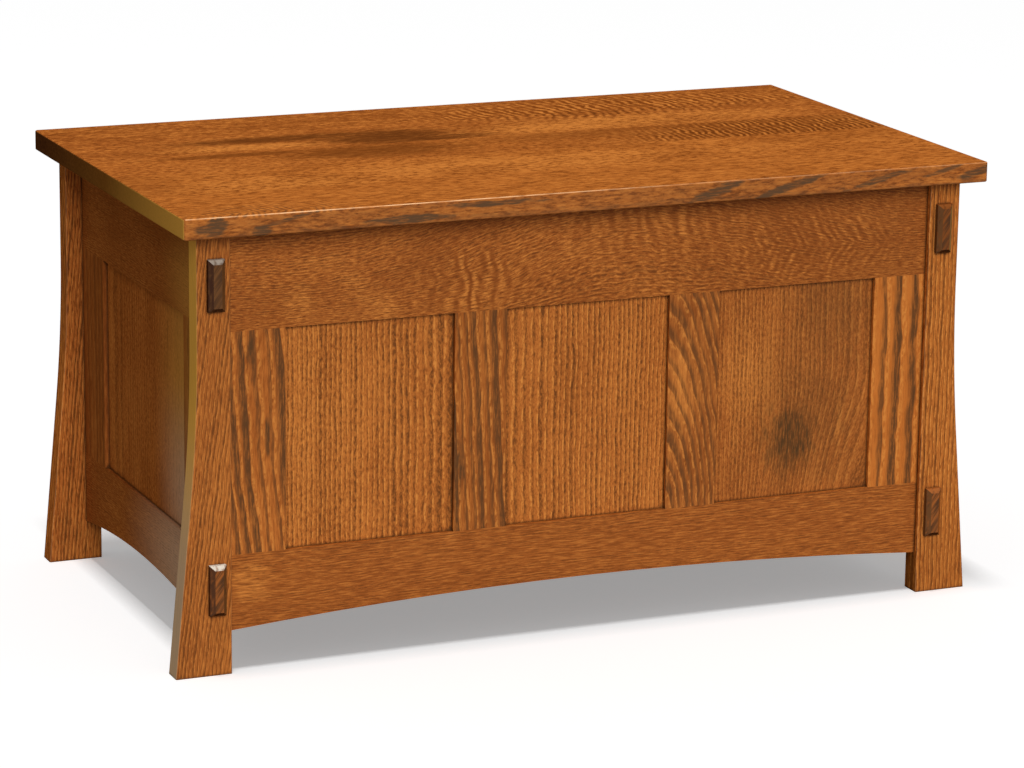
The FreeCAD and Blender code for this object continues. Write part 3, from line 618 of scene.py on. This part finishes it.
def wall_oak(wall, face_axis, across_axis, seed, **stain):
    """The boards of one frame-and-panel wall. Rails have their grain along the wall, the rest upright."""
    upright = "z" + across_axis + face_axis
    level = across_axis + "z" + face_axis
    for index, name in enumerate(nodes_named(wall + "_")):
        rail = name.endswith("rail")
        kind = LEVEL if rail else RIFT if "panel" in name else PLAIN
        figure = {**kind, "seed": seed + index * WALL_SEED_STEP, **stain, **OWN.get(name, {})}
        oak(name, level if rail else upright, **figure)


def posts_oak(seed):
    """The four posts, whose pith leans differently on the left and on the right."""
    for index, name in enumerate(nodes_named("post_")):
        lean = 0.09 if name.endswith("left") else -0.05
        own = {"lean_across": lean, "seed": seed + index * POST_SEED_STEP, **OWN.get(name, {})}
        oak(name, "zxy", **{**UPRIGHT, **own})


def lid_oak():
    """The lid's boards, and the battens under them."""
    for name in nodes_named("lid_board_"):
        oak(name, "xyz", **{**SMOOTH, **OWN[name]})
    oak("lid_batten_left", "yxz", **RIFT, seed=85)
    oak("lid_batten_right", "yxz", **RIFT, seed=86)


def walnut(node, light, top_bevel, right_bevel, left_bevel):
    """Dark oiled walnut for a plug, with slanting grain. Some of its bevels get painted highlights and
    others painted shade.
    """
    material, g, shader = new_material("walnut_" + node)
    place, normal = board_place(g, node, "zxy")
    along, across, deep = g.separate(place)
    slant = g.combine(along, g.math("MULTIPLY_ADD", along, -0.7, across), deep)
    grain = g.noise(slant, (40, 420, 420), detail=3.0)
    rings = g.noise(slant, (14, 130, 130), detail=2.0, distortion=0.6)
    tone = g.math("MULTIPLY_ADD", rings, 0.6, g.math("MULTIPLY", grain, 0.5))
    colour = g.mix(g.ramp(tone, 0.42, 0.68), WALNUT_GRAIN, light)
    patchy = g.ramp(g.noise(place, (60, 180, 180), detail=2.0), 0.30, 0.55, 0.35, 1.0)
    bevels = ((0, 1, top_bevel), (0, -1, WALNUT_SHADE), (1, 1, right_bevel), (1, -1, left_bevel))
    for axis, toward, bevel in bevels:
        faces = g.ramp(g.math("MULTIPLY", normal[axis], toward), 0.50, 0.70)
        colour = g.mix(g.math("MULTIPLY", faces, patchy), colour, bevel)
    g.feed(shader.inputs["Base Color"], colour)
    g.feed(shader.inputs["Roughness"], g.ramp(grain, 0.3, 0.7, 0.32, 0.42, smooth=False))
    satin(g, shader, WALNUT_GLOSS)
    bump(g, shader, grain, WALNUT_RELIEF, 0.5)
    dress(node, material)


def plugs_walnut():
    """The four plugs, each with its own painted highlights and shade on its bevels."""
    walnut("plug_upper_left", WALNUT, FAINT_BEVEL_HIGHLIGHT, WALNUT, WALNUT_SHADE)
    walnut("plug_lower_left", RED_WALNUT, BEVEL_HIGHLIGHT, WALNUT, RED_SHADE)
    walnut("plug_upper_right", WARM_WALNUT, RED_WALNUT, SIDE_BEVEL_HIGHLIGHT, WALNUT)
    walnut("plug_lower_right", RED_WALNUT, RED_WALNUT, RED_WALNUT, WALNUT)


def cedar():
    """Bare red cedar for the bottom boards: pale and red streaks, and small knots."""
    material, g, shader = new_material("cedar")
    coordinates = g.coordinates()["Object"]
    across = g.separate(coordinates)[0]
    low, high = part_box("bottom_boards")
    pitch = (high.x - low.x) / CEDAR_BOARDS
    number = g.math("FLOOR", g.math("DIVIDE", g.math("SUBTRACT", across, low.x), pitch))
    place = g.vector("ADD", coordinates, g.combine(0.0, g.math("MULTIPLY", number, CEDAR_SHIFT), 0.0))
    streak = g.noise(place, (26, 3, 26), detail=3.0, distortion=0.5)
    fibre = g.noise(place, (900, 18, 900), detail=2.0)
    colour = g.mix(g.ramp(streak, 0.35, 0.68), CEDAR_PALE, CEDAR_RED)
    spread = g.vector("MULTIPLY", place, (11, 4.5, 11))
    knots = g.add("TexVoronoi", inputs=(("Vector", spread), ("Scale", 1.0)))
    colour = g.mix(g.ramp(knots, 0.05, 0.13, 0.8, 0.0), colour, CEDAR_KNOT)
    colour = g.mix(g.ramp(fibre, 0.35, 0.7, 0.0, 0.35), colour, CEDAR_FIBRE)
    g.feed(shader.inputs["Base Color"], colour)
    g.feed(shader.inputs["Roughness"], g.ramp(fibre, 0.3, 0.7, 0.62, 0.78, smooth=False))
    satin(g, shader, CEDAR_GLOSS)
    bump(g, shader, fibre, CEDAR_RELIEF, 0.5)
    dress("bottom_boards", material)


def brass(names, title, stretch, colour, tarnish):
    """Satin brass, drawn along its length, with a little tarnish."""
    material, g, shader = new_material(title)
    coordinates = g.coordinates()["Object"]
    lines = g.noise(coordinates, stretch, detail=2.0)
    cloud = g.noise(coordinates, (45, 45, 45), detail=3.0)
    g.feed(shader.inputs["Base Color"], g.mix(g.ramp(cloud, 0.45, 0.75), colour, tarnish))
    shader.inputs["Metallic"].default_value = 1.0
    g.feed(shader.inputs["Roughness"], g.ramp(lines, 0.3, 0.7, 0.42, 0.56, smooth=False))
    bump(g, shader, lines, BRASS_RELIEF, 0.4)
    for name in names:
        dress(name, material)


def metalwork():
    """Brass for the hinge, the stays and all the screws."""
    hinge = ("hinge_case_leaf", "hinge_lid_leaf", "hinge_pin")
    stays = ("stay_arm_left", "stay_arm_right", "stay_brackets", "stay_pivots", "stay_studs")
    screws = [name for name in frame["nodes"] if name.endswith("screws")]
    brass(hinge, "hinge_brass", (12, 1600, 1600), HINGE_BRASS, HINGE_TARNISH)
    brass(stays, "stay_brass", (1200, 60, 60), STAY_BRASS, STAY_TARNISH)
    brass(screws, "screw_brass", (500, 500, 500), SCREW_BRASS, SCREW_TARNISH)


def rubber():
    """Dark rubber for the bumpers."""
    material, g, shader = new_material("rubber")
    grain = g.noise(g.coordinates()["Object"], (1400, 1400, 1400), detail=2.0)
    g.feed(shader.inputs["Base Color"], g.mix(grain, RUBBER_DARK, RUBBER_PALE))
    g.feed(shader.inputs["Roughness"], g.ramp(grain, 0.3, 0.7, 0.62, 0.8, smooth=False))
    bump(g, shader, grain, RUBBER_RELIEF, 0.5)
    dress("lid_bumpers", material)


# Studio

def place_in_scene(name, data):
    """A new object in the scene."""
    item = bpy.data.objects.new(name, data)
    bpy.context.scene.collection.objects.link(item)
    return item


def background(g, seen, other):
    """A value for the rays that show the background, and another for the light that reaches the chest."""
    rays = g.tree.nodes.new("ShaderNodeLightPath").outputs
    shown = g.math("MAXIMUM", rays["Is Camera Ray"], rays["Is Glossy Ray"])
    shown = g.math("MAXIMUM", shown, rays["Is Transmission Ray"])
    return g.ramp(shown, 0, 1, other, seen, smooth=False)


def floor():
    """A plain pale floor that keeps the chest's shadow."""
    mesh = bpy.data.meshes.new("studio_floor")
    grid = bmesh.new()
    bmesh.ops.create_grid(grid, x_segments=1, y_segments=1, size=FLOOR_SIZE / 2)
    grid.to_mesh(mesh)
    grid.free()
    ground = place_in_scene("studio_floor", mesh)
    ground.location.z = -FLOOR_DROP
    material, g, shader = new_material("studio_floor")
    paint = g.mix(background(g, 1.0, 0.0), (FLOOR_BOUNCE,) * 3, (FLOOR_SEEN,) * 3)
    g.feed(shader.inputs["Base Color"], paint)
    shader.inputs["Roughness"].default_value = 1.0
    shader.inputs["Specular IOR Level"].default_value = 0.0
    shader.inputs["Emission Color"].default_value = WHITE
    g.feed(shader.inputs["Emission Strength"], background(g, FLOOR_LIFT, 0.0))
    mesh.materials.append(material)
    return ground


def world():
    """White where it is seen, and a weak even light on the chest."""
    sky = bpy.data.worlds.new("studio")
    sky.use_nodes = True
    bpy.context.scene.world = sky
    g = Graph(sky.node_tree)
    shader = sky.node_tree.nodes["Background"]
    shader.inputs["Color"].default_value = WHITE
    g.feed(shader.inputs["Strength"], background(g, 1.0, AMBIENT))


def top_light():
    """A strip light over the chest, longer from front to back than it is wide."""
    lamp = bpy.data.lights.new("top_light", "AREA")
    lamp.shape = "RECTANGLE"
    lamp.size, lamp.size_y = TOP_LIGHT_SIZE
    right, back = TOP_LIGHT_SLOPE
    place = Vector((-right, -back, 1.0)) * TOP_LIGHT_HEIGHT
    lamp.energy = TOP_LIGHT * (math.pi * place.length) ** 2
    holder = place_in_scene("top_light", lamp)
    holder.location = place
    holder.rotation_euler = (math.atan(back), -math.atan(right), 0.0)


def front_light(ground):
    """A wide soft light from the front, with a flag that keeps it off the floor."""
    lamp = bpy.data.lights.new("front_light", "SUN")
    lamp.energy = FRONT_LIGHT * math.pi
    lamp.angle = FRONT_LIGHT_ANGLE
    holder = place_in_scene("front_light", lamp)
    holder.rotation_mode = "QUATERNION"
    holder.rotation_quaternion = Vector(FRONT_LIGHT_TOWARD).to_track_quat("-Z", "Y")
    flagged = bpy.data.collections.new("flagged")
    flagged.objects.link(ground)
    holder.light_linking.receiver_collection = flagged
    flagged.collection_objects[0].light_linking.link_state = "EXCLUDE"


def camera():
    """The camera, turned by its yaw, pitch and roll."""
    lens = bpy.data.cameras.new("camera")
    lens.lens = CAMERA_LENS
    lens.sensor_width = CAMERA_SENSOR
    lens.clip_end = CAMERA_SIGHT
    ahead = Vector((math.sin(CAMERA_YAW) * math.cos(CAMERA_PITCH),
                    math.cos(CAMERA_YAW) * math.cos(CAMERA_PITCH), -math.sin(CAMERA_PITCH)))
    level = Vector((math.cos(CAMERA_YAW), -math.sin(CAMERA_YAW), 0.0))
    right = Matrix.Rotation(-CAMERA_ROLL, 3, ahead) @ level
    up = right.cross(ahead)
    turn = Matrix((right, up, -ahead)).transposed().to_4x4()
    holder = place_in_scene("camera", lens)
    holder.matrix_world = Matrix.Translation(CAMERA_PLACE) @ turn
    bpy.context.scene.camera = holder


# Everything together

wall_oak("front", "y", "x", seed=3.0)
wall_oak("back", "y", "x", seed=21.0)
wall_oak("left", "x", "y", seed=33.0, **SIDE_WALL)
wall_oak("right", "x", "y", seed=51.0, **SIDE_WALL)
posts_oak(seed=40)
lid_oak()
oak("bottom_cleats", "xyz", **RIFT, seed=77)
plugs_walnut()
cedar()
metalwork()
rubber()
world()
top_light()
front_light(floor())
camera()

bpy.context.scene.view_settings.view_transform = "Standard"
